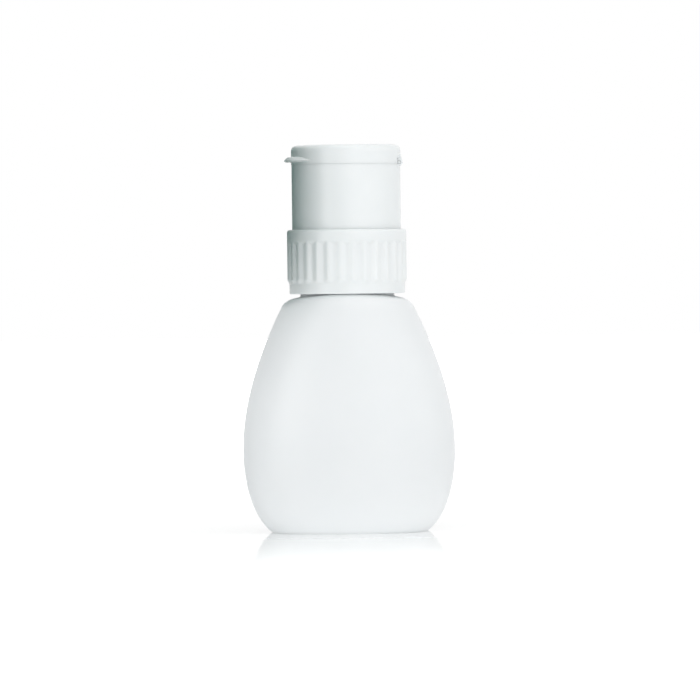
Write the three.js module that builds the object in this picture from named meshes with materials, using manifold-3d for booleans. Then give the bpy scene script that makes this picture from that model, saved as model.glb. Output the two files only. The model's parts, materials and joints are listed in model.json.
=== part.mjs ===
// Push-down pump bottle with a flip lid, in millimetres, +Z up.
// The origin is the middle of the bottle's foot. The front looks along -Y, the lid's tab is on -X and
// its hinge is on +X. The bottle is oval, and every other piece is turned about the Z axis.

import * as THREE from 'three';
import { mergeVertices } from 'three/addons/utils/BufferGeometryUtils.js';
import Module from 'manifold-3d';

const wasm = await Module();
wasm.setup();

// Bottle body
const baseHalfWidth = 25.0;
const baseHalfDepth = 18.0;
const bellyHalfWidth = 34.0;
const bellyHalfDepth = 23.5;
const bellyHeight = 26.1;
const bellySquareness = 2.3;
const shoulderHeight = 71.5;
const shoulderRise = 3.1;
const shoulderCorner = 3.9;
const cornerShare = 0.8;
const shoulderLedgeSide = 6.3;
const shoulderLedgeFront = 4.4;
const bottleWall = 1.1;
const standingRingWidth = 4.0;
const pushUp = 1.6;
const pushUpCrown = 0.8;

// Handles of the two curves of the bottle's side, as shares of the swell and of the height
const footSwell = 0.67;
const footRise = 0.19;
const bellyRise = 0.575;
const bellyHold = 0.308;
const shoulderSwell = 0.63;
const shoulderDrop = 0.352;

// Bottle neck
const neckRadius = 15.0;
const neckWall = 2.3;
const neckHeight = 10.2;

// Screw collar
const threadRoom = 1.5;
const collarWall = 2.0;
const collarAboveShoulder = 1.5;
const webThickness = 1.4;
const recessWall = 0.8;
const ribCount = 30;
const ribDepth = 0.6;
const lowerBandHeight = 3.1;
const upperBandHeight = 3.5;
const ribRunOut = 0.9;
const collarEdge = 0.9;

// Pump travel
const stroke = 5.5;
const headOverlap = 1.7;
const stopGap = 1.0;

// Gasket, chamber and stem guide
const gasketThickness = 1.0;
const flangeRoom = 0.9;
const flangeThickness = 1.2;
const chamberBore = 6.0;
const chamberWall = 1.2;
const guideFlangeRadius = 9.0;
const guideFlangeThickness = 1.0;
const guideSleeve = 3.7;
const guideBossRadius = 5.2;
const guideBossHeight = 2.4;

// Valve balls and their seats
const inletBallRadius = 2.0;
const outletBallRadius = 2.0;
const ballLift = 1.2;
const cageRoom = 0.6;
const cageLip = 1.0;
const lipGrip = 0.15;
const inletPassage = 1.3;
const inletPassageLength = 1.2;

// Dip tube and the nipple that holds it
const dipTubeRadius = 2.5;
const dipTubeBore = 1.7;
const dipTubeGrip = 8.5;
const dipTubeFootGap = 1.5;
const dipTubeBevel = 0.6;
const nippleWall = 1.2;

// Spring, stem and piston
const wire = 0.8;
const springRadius = 4.6;
const springTurns = 4.5;
const springSpare = 1.3;
const lowerStemRadius = 2.6;
const lowerStemTail = 4.0;
const lowerStemFlangeRadius = 5.0;
const lowerStemFlange = 0.8;
const spigotRadius = 2.3;
const spigotLength = 5.7;
const portRadius = 0.7;
const stemBore = 1.3;
const pistonHeight = 5.0;
const pistonWaist = 0.8;
const pistonLip = 1.2;
const upperStemRadius = 3.4;
const stemStopRadius = 4.8;
const stemStop = 0.7;

// Pump head
const headWall = 1.3;
const headHeight = 22.5;
const headEdge = 0.3;
const deckThickness = 1.4;
const hubWall = 1.5;
const hubGap = 1.7;
const outletRadius = 1.4;

// Pad dish
const dishWall = 1.2;
const dishRimDrop = 0.5;
const dishStraight = 1.9;
const dishDepth = 2.6;
const dishRoom = 2.2;
const bowlFlat = 0.55;
const spoutWall = 1.4;

// Flip lid
const lidOverhang = 0.1;
const lidHeight = 5.8;
const lidWall = 1.3;
const lidTop = 1.3;
const lidCorner = 2.0;
const sealRingWall = 0.8;
const sealRingReach = 0.9;
const tabReach = 2.3;
const tabHalfAngle = 50;
const tabLift = 0.5;
const tabThickness = 1.65;
const tabEdge = 0.5;
const tabNose = 0.5;
const tabSlope = 1.1;

// Lid hinge
const knuckleRadius = 1.15;
const knuckleWidth = 8.0;
const wedgeHeight = 2.6;
const hingeInset = 0.35;
const earWidth = 1.8;
const earDepth = 1.8;
const trunnionRadius = 0.45;

// Clearances between neighbours
const runGap = 0.3;
const slipGap = 0.1;

// Facets
const bottleSides = 40;
const outerSteps = { lower: 6, upper: 9, corner: 3 };
const innerSteps = { lower: 4, upper: 6, corner: 2 };
const pointsPerRib = 3;
const shellSides = 48;
const innerSides = 24;
const ballSides = 12;
const roundSteps = 8;
const bowlSteps = 5;
const lidCornerSteps = 3;
const springSteps = 8;
const springSides = 5;

// Heights that follow from the sizes, from the shoulder up
const ledgeZ = shoulderHeight + shoulderRise;
const lipZ = ledgeZ + neckHeight;
const flangeZ = lipZ + gasketThickness;
const webZ = flangeZ + flangeThickness;
const recessZ = webZ + webThickness;
const collarTopZ = recessZ + stopGap + stroke + headOverlap;
const collarFootZ = ledgeZ + collarAboveShoulder;
const headFootZ = collarTopZ - headOverlap;
const headTopZ = headFootZ + headHeight;
const dishTopZ = headTopZ - dishRimDrop;
const dishFloorZ = dishTopZ - dishStraight - dishDepth;
const deckTopZ = dishFloorZ - dishWall - dishRoom;
const deckZ = deckTopZ - deckThickness;
const lidFootZ = headTopZ + runGap;
const lidTopZ = lidFootZ + lidHeight;
const lidCeilingZ = lidTopZ - lidTop;

// Heights down the pump, from the collar's web to the end of the dip tube
const guideFootZ = webZ - guideSleeve;
const stopTopZ = guideFootZ - runGap;
const stopFootZ = stopTopZ - stemStop;
const pistonTopZ = stopFootZ - runGap;
const pistonFootZ = pistonTopZ - pistonHeight;
const stemFlangeTopZ = pistonFootZ - runGap;
const springTopZ = stemFlangeTopZ - lowerStemFlange;
const springFootZ = springTopZ - stroke - springTurns * wire - springSpare;
const cageTopZ = springFootZ - cageLip;
const cageBore = inletBallRadius + cageRoom;
const inletBallZ = cageTopZ - ballLift - runGap - inletBallRadius;
const seatFootZ = inletBallZ - Math.SQRT2 * (inletBallRadius + slipGap) + inletPassage;
const seatTopZ = seatFootZ + cageBore - inletPassage;
const socketZ = seatFootZ - inletPassageLength;
const nippleFootZ = socketZ - dipTubeGrip;
const dipTubeFootZ = pushUp + bottleWall + dipTubeFootGap;

// Heights up the stem to the outlet
const stemTopZ = deckZ - ballLift - slipGap - runGap;
const outletLedgeZ = stemTopZ + ballLift;
const outletBallZ = outletLedgeZ - ballLift - runGap - outletBallRadius;
const outletCage = outletBallRadius + cageRoom;
const outletSeatZ = outletBallZ - Math.SQRT2 * (outletBallRadius + slipGap) + outletRadius;
const guideBossZ = webZ + guideBossHeight;
const hubFootZ = guideBossZ + stroke + hubGap;

// Radii that follow from the sizes
const neckBore = neckRadius - neckWall;
const collarBore = neckRadius + threadRoom;
const flangeRadius = collarBore - flangeRoom;
const bandRadius = collarBore + collarWall;
const rimRadius = bandRadius + ribDepth;
const recessRadius = bandRadius - recessWall;
const headRadius = recessRadius - runGap;
const headBore = headRadius - headWall;
const dishRadius = headBore - runGap;
const dishBore = dishRadius - dishWall;
const lidRadius = headRadius + lidOverhang;
const lidBore = lidRadius - lidWall;
const chamberRadius = chamberBore + chamberWall;
const nippleRadius = dipTubeRadius + slipGap + nippleWall;

// Hinge axis, along Y at the edge of the head
const hingeX = headRadius - hingeInset;
const hingeZ = lidFootZ + slipGap;
const earInnerX = headRadius - earDepth;
const earFromY = knuckleWidth / 2 + runGap;
const earToY = earFromY + earWidth;

// Welds shared corners and drops the empty triangles that a profile leaves on the axis.
function weld(geometry) {
  geometry.deleteAttribute('normal');
  geometry.deleteAttribute('uv');
  const merged = mergeVertices(geometry);
  const corners = merged.index.array;
  const kept = [];
  for (let i = 0; i < corners.length; i += 3) {
    const [a, b, c] = corners.slice(i, i + 3);
    if (a !== b && b !== c && c !== a) {
      kept.push(a, b, c);
    }
  }
  merged.setIndex(kept);
  return merged;
}

// Turns a counter-clockwise profile of [radius, height] pairs about the Z axis.
function turned(profile, sides) {
  const points = profile.map(([radius, z]) => new THREE.Vector2(radius, z));
  const geometry = new THREE.LatheGeometry(points, sides);
  geometry.rotateX(Math.PI / 2);
  return weld(geometry);
}

// As turned, for a ring whose profile closes on itself.
function turnedRing(profile, sides) {
  return turned([...profile, profile[0]], sides);
}

// Skins a stack of rings, each with the same number of points, counter-clockwise seen from above.
function skinned(rings, closed) {
  const count = rings[0].length;
  const triangles = [];
  const spans = closed ? rings.length : rings.length - 1;
  for (let k = 0; k < spans; k += 1) {
    const next = (k + 1) % rings.length;
    for (let i = 0; i < count; i += 1) {
      const j = (i + 1) % count;
      const [a, b] = [k * count + i, k * count + j];
      const [d, c] = [next * count + i, next * count + j];
      triangles.push(a, b, d, b, c, d);
    }
  }
  const geometry = new THREE.BufferGeometry().setFromPoints(rings.flat());
  geometry.setIndex(triangles);
  return weld(geometry);
}

// Extrudes an outline drawn in X and Z along Y, from one Y to the other.
function extrudedAlongY(outline, fromY, toY) {
  const geometry = new THREE.ExtrudeGeometry(outline, {
    depth: toY - fromY,
    bevelEnabled: false,
    curveSegments: roundSteps,
  });
  geometry.rotateX(Math.PI / 2);
  geometry.translate(0, toY, 0);
  return weld(geometry);
}

// A round bar along Y about the hinge axis.
function barAlongY(radius, fromY, toY) {
  const outline = new THREE.Shape();
  outline.absarc(hingeX, hingeZ, radius, 0, 2 * Math.PI, false);
  return extrudedAlongY(outline, fromY, toY);
}

function boxBetween(low, high) {
  const size = high.map((value, i) => value - low[i]);
  const geometry = new THREE.BoxGeometry(...size);
  geometry.translate(...low.map((value, i) => value + size[i] / 2));
  return weld(geometry);
}

function solid(geometry) {
  return new wasm.Manifold(new wasm.Mesh({
    numProp: 3,
    vertProperties: new Float32Array(geometry.attributes.position.array),
    triVerts: new Uint32Array(geometry.index.array),
  }));
}

function shape(body) {
  const mesh = body.getMesh();
  const geometry = new THREE.BufferGeometry();
  geometry.setAttribute('position', new THREE.BufferAttribute(mesh.vertProperties, 3));
  geometry.setIndex(new THREE.BufferAttribute(mesh.triVerts, 1));
  return geometry;
}

// Points of a curve in a profile, without its first one.
function along(curve, steps) {
  return curve.getPoints(steps).slice(1).map((point) => [point.x, point.y]);
}

// Bottle

// One level of the oval body. With no half width it is a single point on the axis.
function ovalRing([halfWidth, halfDepth, squareness, z]) {
  const power = 2 / squareness;
  const ring = [];
  for (let i = 0; i < bottleSides; i += 1) {
    const angle = (2 * Math.PI * i) / bottleSides;
    const x = halfWidth * Math.sign(Math.cos(angle)) * Math.abs(Math.cos(angle)) ** power;
    const y = halfDepth * Math.sign(Math.sin(angle)) * Math.abs(Math.sin(angle)) ** power;
    ring.push(new THREE.Vector3(x, y, z));
  }
  return ring;
}

// Levels of the body from the foot to the shoulder's edge. The side outline is two curves that meet at
// the belly, and the depth swells in step with the width.
function bodyLevels(inset, steps) {
  const shoulderHalfWidth = neckRadius + shoulderLedgeSide;
  const shoulderHalfDepth = neckRadius + shoulderLedgeFront;
  const upperHeight = shoulderHeight - bellyHeight;
  const lower = new THREE.CubicBezierCurve(
    new THREE.Vector2(0, 0),
    new THREE.Vector2(footSwell, footRise * bellyHeight),
    new THREE.Vector2(1, bellyRise * bellyHeight),
    new THREE.Vector2(1, bellyHeight),
  );
  const upper = new THREE.CubicBezierCurve(
    new THREE.Vector2(1, bellyHeight),
    new THREE.Vector2(1, bellyHeight + bellyHold * upperHeight),
    new THREE.Vector2(shoulderSwell, shoulderHeight - shoulderDrop * upperHeight),
    new THREE.Vector2(0, shoulderHeight),
  );
  const swell = (small, large, share) => small + (large - small) * share - inset;
  const low = lower.getPoints(steps.lower).map(({ x, y }) => [
    swell(baseHalfWidth, bellyHalfWidth, x),
    swell(baseHalfDepth, bellyHalfDepth, x),
    bellySquareness,
    y + inset * (1 - y / bellyHeight),
  ]);
  const high = upper.getPoints(steps.upper).slice(1).map(({ x, y }) => [
    swell(shoulderHalfWidth, bellyHalfWidth, x),
    swell(shoulderHalfDepth, bellyHalfDepth, x),
    2 + (bellySquareness - 2) * x,
    y,
  ]);
  return [...low, ...high];
}

// Levels round the shoulder's corner, from its edge to its flat ledge.
function cornerLevels(inset, steps) {
  const cornerSide = Math.min(shoulderCorner, cornerShare * shoulderLedgeSide);
  const cornerFront = Math.min(shoulderCorner, cornerShare * shoulderLedgeFront);
  const levels = [];
  for (let k = 1; k <= steps.corner; k += 1) {
    const angle = (Math.PI / 2) * (k / steps.corner);
    const inward = 1 - Math.cos(angle);
    levels.push([
      neckRadius + shoulderLedgeSide - inset - (cornerSide - inset) * inward,
      neckRadius + shoulderLedgeFront - inset - (cornerFront - inset) * inward,
      2,
      shoulderHeight + (shoulderRise - inset) * Math.sin(angle),
    ]);
  }
  return levels;
}

function bottle() {
  const innerFootWidth = baseHalfWidth - standingRingWidth;
  const innerFootDepth = baseHalfDepth - standingRingWidth;
  const outside = [
    [0, 0, bellySquareness, pushUp],
    [innerFootWidth / 2, innerFootDepth / 2, bellySquareness, pushUp * pushUpCrown],
    [innerFootWidth, innerFootDepth, bellySquareness, 0],
    ...bodyLevels(0, outerSteps),
    ...cornerLevels(0, outerSteps),
    [neckRadius, neckRadius, 2, ledgeZ],
    [neckRadius, neckRadius, 2, lipZ],
  ];
  const inside = [
    [0, 0, bellySquareness, pushUp + bottleWall],
    ...bodyLevels(bottleWall, innerSteps),
    ...cornerLevels(bottleWall, innerSteps),
    [neckBore, neckBore, 2, ledgeZ - bottleWall],
    [neckBore, neckBore, 2, lipZ],
  ];
  return skinned([...outside, ...inside.reverse()].map(ovalRing), false);
}

// Collar

// One level of the collar, where the ribs stand out by a share of their depth.
function ribbedRing([radius, ribShare, z]) {
  const count = ribCount * pointsPerRib;
  const ring = [];
  for (let i = 0; i < count; i += 1) {
    const angle = (2 * Math.PI * i) / count;
    const outward = radius + (i % pointsPerRib === 0 ? 0 : ribDepth * ribShare);
    ring.push(new THREE.Vector3(outward * Math.cos(angle), outward * Math.sin(angle), z));
  }
  return ring;
}

function collar() {
  const ribFootZ = collarFootZ + lowerBandHeight;
  const ribTopZ = collarTopZ - upperBandHeight;
  const holeRadius = guideFlangeRadius + runGap;
  const edge = Math.min(collarEdge, rimRadius - recessRadius);
  const bite = edge * (1 - Math.SQRT1_2);
  const levels = [
    [bandRadius, 0, collarFootZ],
    [bandRadius, 0, ribFootZ],
    [bandRadius, 1, ribFootZ + ribRunOut],
    [bandRadius, 1, ribTopZ - ribRunOut],
    [rimRadius, 0, ribTopZ],
    [rimRadius, 0, collarTopZ - edge],
    [rimRadius - bite, 0, collarTopZ - bite],
    [rimRadius - edge, 0, collarTopZ],
    [recessRadius, 0, collarTopZ],
    [recessRadius, 0, recessZ],
    [holeRadius, 0, recessZ],
    [holeRadius, 0, webZ],
    [collarBore, 0, webZ],
    [collarBore, 0, collarFootZ],
  ];
  return skinned(levels.map(ribbedRing), true);
}

// Pump core

function neckGasket() {
  const bore = chamberRadius + runGap;
  return turnedRing([
    [flangeRadius, lipZ],
    [flangeRadius, flangeZ],
    [bore, flangeZ],
    [bore, lipZ],
  ], innerSides);
}

function pumpChamber() {
  const lipBore = inletBallRadius - lipGrip;
  const socketBore = dipTubeRadius + slipGap;
  return turnedRing([
    [nippleRadius, nippleFootZ],
    [nippleRadius, socketZ],
    [chamberRadius, cageTopZ],
    [chamberRadius, flangeZ],
    [flangeRadius, flangeZ],
    [flangeRadius, webZ],
    [chamberBore, webZ],
    [chamberBore, springFootZ],
    [lipBore, springFootZ],
    [lipBore, cageTopZ],
    [cageBore, cageTopZ],
    [cageBore, seatTopZ],
    [inletPassage, seatFootZ],
    [inletPassage, socketZ],
    [socketBore, socketZ],
    [socketBore, nippleFootZ],
  ], innerSides);
}

function stemGuide() {
  const bore = upperStemRadius + runGap;
  const sleeve = chamberBore - slipGap;
  return turnedRing([
    [sleeve, guideFootZ],
    [sleeve, webZ],
    [guideFlangeRadius, webZ],
    [guideFlangeRadius, webZ + guideFlangeThickness],
    [guideBossRadius, webZ + guideFlangeThickness],
    [guideBossRadius, guideBossZ],
    [bore, guideBossZ],
    [bore, guideFootZ],
  ], innerSides);
}

// The tube's lower end is cut on a slant, so that it can't seal itself on the bottle's floor.
function dipTube() {
  const geometry = turnedRing([
    [dipTubeRadius, dipTubeFootZ],
    [dipTubeRadius, socketZ],
    [dipTubeBore, socketZ],
    [dipTubeBore, dipTubeFootZ],
  ], innerSides);
  const position = geometry.attributes.position;
  const middleZ = (dipTubeFootZ + socketZ) / 2;
  for (let i = 0; i < position.count; i += 1) {
    if (position.getZ(i) < middleZ) {
      position.setZ(i, dipTubeFootZ + dipTubeBevel * (position.getX(i) + dipTubeRadius));
    }
  }
  return geometry;
}

function ball(radius, z) {
  const geometry = new THREE.SphereGeometry(radius, ballSides, roundSteps);
  geometry.rotateX(Math.PI / 2);
  geometry.translate(0, 0, z);
  return weld(geometry);
}

// Return spring

class Helix extends THREE.Curve {
  getPoint(share, target = new THREE.Vector3()) {
    const angle = 2 * Math.PI * springTurns * share;
    const rise = springTopZ - springFootZ - wire - 2 * slipGap;
    return target.set(
      springRadius * Math.cos(angle),
      springRadius * Math.sin(angle),
      springFootZ + slipGap + wire / 2 + rise * share,
    );
  }
}

// The least gap between the spring's turns, measured between points at least half a turn apart.
function leastGap(curve, width) {
  const pointsPerTurn = 48;
  const points = curve.getPoints(springTurns * pointsPerTurn);
  const halfTurn = pointsPerTurn / 2;
  let least = Infinity;
  points.forEach((point, i) => {
    for (let j = i + halfTurn; j < points.length; j += 1) {
      least = Math.min(least, point.distanceTo(points[j]));
    }
  });
  return least - width;
}

function returnSpring() {
  const helix = new Helix();
  console.log(`return_spring: least gap between turns ${leastGap(helix, wire).toFixed(2)} mm`);
  const circle = new THREE.EllipseCurve(0, 0, wire / 2, wire / 2);
  const section = new THREE.Shape(circle.getPoints(springSides).slice(0, -1));
  const geometry = new THREE.ExtrudeGeometry(section, {
    steps: springSteps * springTurns,
    extrudePath: helix,
  });
  return weld(geometry);
}

// Plunger

function piston() {
  const outer = chamberBore - slipGap;
  const bore = lowerStemRadius + slipGap;
  return turnedRing([
    [outer - pistonWaist, pistonFootZ],
    [outer, pistonFootZ],
    [outer - pistonWaist, pistonFootZ + pistonLip],
    [outer - pistonWaist, pistonTopZ - pistonLip],
    [outer, pistonTopZ],
    [outer - pistonWaist, pistonTopZ],
    [bore, pistonTopZ],
    [bore, pistonFootZ],
  ], innerSides);
}

function lowerStem() {
  const tailZ = springTopZ - lowerStemTail;
  const floorZ = tailZ + stemBore;
  const stem = solid(turned([
    [0, tailZ],
    [lowerStemRadius, tailZ],
    [lowerStemRadius, springTopZ],
    [lowerStemFlangeRadius, springTopZ],
    [lowerStemFlangeRadius, stemFlangeTopZ],
    [lowerStemRadius, stemFlangeTopZ],
    [lowerStemRadius, stopFootZ],
    [spigotRadius, stopFootZ],
    [spigotRadius, stopFootZ + spigotLength],
    [stemBore, stopFootZ + spigotLength],
    [stemBore, floorZ],
    [0, floorZ],
  ], innerSides));
  const port = new THREE.CylinderGeometry(portRadius, portRadius, 4 * lowerStemRadius, roundSteps);
  port.rotateZ(Math.PI / 2);
  port.translate(0, 0, stemFlangeTopZ + 2 * portRadius);
  return shape(stem.subtract(solid(weld(port))));
}

function upperStem() {
  const socketBore = spigotRadius + slipGap;
  const socketTopZ = stopFootZ + spigotLength + runGap;
  return turnedRing([
    [stemStopRadius, stopFootZ],
    [stemStopRadius, stopTopZ],
    [upperStemRadius, stopTopZ],
    [upperStemRadius, stemTopZ],
    [outletCage, stemTopZ],
    [outletCage, outletSeatZ + outletCage - outletRadius],
    [outletRadius, outletSeatZ],
    [outletRadius, socketTopZ],
    [socketBore, socketTopZ],
    [socketBore, stopFootZ],
  ], innerSides);
}

// Head

function headShell() {
  const hubBore = upperStemRadius + slipGap;
  const hubRadius = hubBore + hubWall;
  const turnedShell = solid(turnedRing([
    [headRadius - headEdge, headFootZ],
    [headRadius, headFootZ + headEdge],
    [headRadius, headTopZ - headEdge],
    [headRadius - headEdge, headTopZ],
    [headBore, headTopZ],
    [headBore, deckTopZ],
    [outletRadius, deckTopZ],
    [outletRadius, outletLedgeZ],
    [outletCage, outletLedgeZ],
    [outletCage, stemTopZ],
    [hubBore, stemTopZ],
    [hubBore, hubFootZ],
    [hubRadius, hubFootZ],
    [hubRadius, deckZ],
    [headBore, deckZ],
    [headBore, headFootZ],
  ], shellSides));
  const knuckleRoom = knuckleWidth / 2 + runGap;
  const notch = solid(barAlongY(knuckleRadius + runGap, -knuckleRoom, knuckleRoom));
  const eye = solid(barAlongY(trunnionRadius + runGap, -earToY - runGap, earToY + runGap));
  return shape(turnedShell
    .subtract(notch)
    .add(ear(-earToY, -earFromY))
    .add(ear(earFromY, earToY))
    .subtract(eye));
}

// A lug on the head's edge, with a round end about the hinge axis.
function ear(fromY, toY) {
  const outline = new THREE.Shape();
  outline.moveTo(earInnerX, hingeZ - knuckleRadius);
  outline.absarc(hingeX, hingeZ, knuckleRadius, -Math.PI / 2, Math.PI / 2, false);
  outline.lineTo(earInnerX, headTopZ);
  return solid(extrudedAlongY(outline, fromY, toY));
}

function padDish() {
  const spoutRadius = outletRadius + spoutWall;
  const bowlEdgeZ = dishTopZ - dishStraight;
  const bowl = new THREE.QuadraticBezierCurve(
    new THREE.Vector2(dishBore, bowlEdgeZ),
    new THREE.Vector2(dishBore * bowlFlat, dishFloorZ),
    new THREE.Vector2(outletRadius, dishFloorZ),
  );
  const under = new THREE.QuadraticBezierCurve(
    new THREE.Vector2(spoutRadius, dishFloorZ - dishWall),
    new THREE.Vector2(dishBore * bowlFlat, dishFloorZ - dishWall),
    new THREE.Vector2(dishBore, bowlEdgeZ - dishWall),
  );
  return turnedRing([
    [dishRadius, deckTopZ],
    [dishRadius, dishTopZ - headEdge],
    [dishRadius - headEdge, dishTopZ],
    [dishBore + headEdge, dishTopZ],
    [dishBore, dishTopZ - headEdge],
    [dishBore, bowlEdgeZ],
    ...along(bowl, bowlSteps),
    [outletRadius, deckTopZ],
    [spoutRadius, deckTopZ],
    [spoutRadius, dishFloorZ - dishWall],
    ...along(under, bowlSteps),
    [dishBore, deckTopZ],
  ], shellSides);
}

// Lid

// A round plate set off towards -X. What stands out past the lid is a crescent for the thumb.
function thumbTab() {
  const tipX = lidRadius + tabReach;
  const rootX = lidRadius * Math.cos(THREE.MathUtils.degToRad(tabHalfAngle));
  const centreX = (tipX ** 2 - lidRadius ** 2) / (2 * (tipX - rootX));
  const radius = tipX - centreX;
  const tabFootZ = lidFootZ + tabLift;
  const tabTopZ = tabFootZ + tabThickness;
  const plate = turned([
    [0, tabFootZ],
    [radius - tabNose, tabFootZ],
    [radius, tabFootZ + tabEdge],
    [radius - tabSlope, tabTopZ],
    [0, tabTopZ],
  ], shellSides);
  plate.translate(-centreX, 0, 0);
  return plate;
}

// The hinge knuckle hangs just below the lid's edge and runs up the wall as a wedge.
function knuckle() {
  const wallX = lidRadius - lidWall / 2;
  const outline = new THREE.Shape();
  outline.moveTo(wallX, hingeZ);
  outline.absarc(hingeX, hingeZ, knuckleRadius, Math.PI, 2 * Math.PI, false);
  outline.lineTo(lidRadius, hingeZ + wedgeHeight);
  outline.lineTo(wallX, hingeZ + wedgeHeight);
  return extrudedAlongY(outline, -knuckleWidth / 2, knuckleWidth / 2);
}

function flipLid() {
  const corner = new THREE.EllipseCurve(
    lidRadius - lidCorner,
    lidTopZ - lidCorner,
    lidCorner,
    lidCorner,
    0,
    Math.PI / 2,
  );
  const outside = solid(turned([
    [0, lidFootZ],
    [lidRadius, lidFootZ],
    [lidRadius, lidTopZ - lidCorner],
    ...along(corner, lidCornerSteps),
    [0, lidTopZ],
  ], shellSides));
  const belowZ = lidFootZ - lidWall;
  const hollow = solid(turned([
    [0, belowZ],
    [lidBore, belowZ],
    [lidBore, lidCeilingZ],
    [0, lidCeilingZ],
  ], shellSides));
  const ringRadius = dishBore - runGap;
  const sealRing = solid(turnedRing([
    [ringRadius, dishTopZ - sealRingReach],
    [ringRadius, lidCeilingZ + lidTop / 2],
    [ringRadius - sealRingWall, lidCeilingZ + lidTop / 2],
    [ringRadius - sealRingWall, dishTopZ - sealRingReach],
  ], shellSides));
  const cutTopZ = hingeZ + knuckleRadius + runGap;
  const cutToY = earToY + runGap;
  const earRoom = (fromY, toY) => solid(boxBetween(
    [earInnerX - 2 * runGap, fromY, belowZ],
    [lidRadius + tabReach, toY, cutTopZ],
  ));
  const trunnions = solid(barAlongY(trunnionRadius, -earToY, earToY));
  return shape(outside
    .add(solid(thumbTab()))
    .subtract(hollow)
    .subtract(earRoom(-cutToY, -knuckleWidth / 2))
    .subtract(earRoom(knuckleWidth / 2, cutToY))
    .add(solid(knuckle()))
    .add(trunnions)
    .add(sealRing));
}

// Materials

const whiteBottle = new THREE.MeshStandardMaterial({ color: 0xf2f5f5, roughness: 0.42, metalness: 0 });
const whiteCap = new THREE.MeshStandardMaterial({ color: 0xf4f6f6, roughness: 0.32, metalness: 0 });
const naturalPlastic = new THREE.MeshStandardMaterial({ color: 0xe4e8e6, roughness: 0.45, metalness: 0 });
const softSeal = new THREE.MeshStandardMaterial({ color: 0xdde0dc, roughness: 0.7, metalness: 0 });
const steel = new THREE.MeshStandardMaterial({ color: 0xb9bcc0, roughness: 0.25, metalness: 1 });

// Assembly

const pumpBottle = new THREE.Group();

function place(name, geometry, material) {
  const mesh = new THREE.Mesh(geometry, material);
  mesh.name = name;
  pumpBottle.add(mesh);
}

place('bottle', bottle(), whiteBottle);
place('collar', collar(), whiteCap);
place('neck_gasket', neckGasket(), softSeal);
place('pump_chamber', pumpChamber(), naturalPlastic);
place('stem_guide', stemGuide(), naturalPlastic);
place('dip_tube', dipTube(), naturalPlastic);
place('inlet_ball', ball(inletBallRadius, inletBallZ), steel);
place('return_spring', returnSpring(), steel);
place('piston', piston(), softSeal);
place('lower_stem', lowerStem(), naturalPlastic);
place('upper_stem', upperStem(), naturalPlastic);
place('outlet_ball', ball(outletBallRadius, outletBallZ), steel);
place('head_shell', headShell(), whiteCap);
place('pad_dish', padDish(), whiteCap);
place('flip_lid', flipLid(), whiteCap);

export default pumpBottle;
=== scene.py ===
# %% [markdown]
# # A push-down pump bottle
# The solids of this bottle are made and packed already. They hold every size, joint and clearance, and
# their faces are flat facets. This lesson gives each piece a fine surface and a finish, in the solids'
# own frame, so that no piece has to be fitted afterwards. Sizes are in millimetres, and they become
# metres where a mesh is made.

# %% Load the frame
import json
import math
from functools import partial

import bmesh
import bpy
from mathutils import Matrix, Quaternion, Vector
from mathutils.geometry import interpolate_bezier


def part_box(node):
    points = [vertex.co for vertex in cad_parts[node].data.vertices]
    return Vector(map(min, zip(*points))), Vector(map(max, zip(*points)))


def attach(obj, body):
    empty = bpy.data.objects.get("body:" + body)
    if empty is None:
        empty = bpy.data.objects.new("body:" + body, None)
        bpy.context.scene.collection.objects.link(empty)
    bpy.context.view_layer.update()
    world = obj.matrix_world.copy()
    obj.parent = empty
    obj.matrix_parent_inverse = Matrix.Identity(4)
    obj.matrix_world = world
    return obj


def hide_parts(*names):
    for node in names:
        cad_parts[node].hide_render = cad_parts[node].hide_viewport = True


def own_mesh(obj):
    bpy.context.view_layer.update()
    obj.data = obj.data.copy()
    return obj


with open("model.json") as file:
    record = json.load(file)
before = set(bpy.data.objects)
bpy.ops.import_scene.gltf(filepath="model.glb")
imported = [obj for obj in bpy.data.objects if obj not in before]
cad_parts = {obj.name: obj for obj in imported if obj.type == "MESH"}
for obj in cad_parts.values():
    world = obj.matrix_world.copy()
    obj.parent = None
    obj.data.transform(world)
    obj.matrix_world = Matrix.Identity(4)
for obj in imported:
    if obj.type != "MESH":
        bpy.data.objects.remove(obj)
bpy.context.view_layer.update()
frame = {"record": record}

MM = 0.001
record = frame["record"]
body_of_node = {node: body for body, nodes in record["behaviour"]["bodies"].items() for node in nodes}
joints = {joint["name"]: joint for joint in record["behaviour"]["joints"]}


def box_of(node):
    """Lowest and highest corner of a solid, in millimetres."""
    low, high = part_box(node)
    return Vector(low) / MM, Vector(high) / MM


# %% [markdown]
# ## Camera
# The bottle was taken from far off with a long lens: its sides run straight up, the top of the lid is
# seen a little from below and the foot a little from above. So the camera stands at the height of the
# collar, 1.7 m away, and tips down by about one degree. The lens is worked out from the width that the
# picture covers at the bottle. The bottle leans a little to the left in the picture, so the camera rolls.

# %% Camera
camera_distance = 1.70
camera_height = 88 * MM
aim_height = 58.0 * MM
aim_side = 0.62 * MM
picture_width = 224 * MM
camera_roll = math.radians(0.7)

camera_data = bpy.data.cameras.new("camera")
camera = bpy.data.objects.new("camera", camera_data)
bpy.context.scene.collection.objects.link(camera)
camera.location = (aim_side, -camera_distance, camera_height)
look = Vector((aim_side, 0, aim_height)) - camera.location
camera.rotation_mode = "QUATERNION"
camera.rotation_quaternion = look.to_track_quat("-Z", "Y") @ Quaternion((0, 0, 1), -camera_roll)
camera_data.sensor_width = 36
camera_data.lens = camera_data.sensor_width * look.length / picture_width
camera_data.clip_end = 20
bpy.context.scene.camera = camera
print("lens in mm:", round(camera_data.lens, 1))

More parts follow.
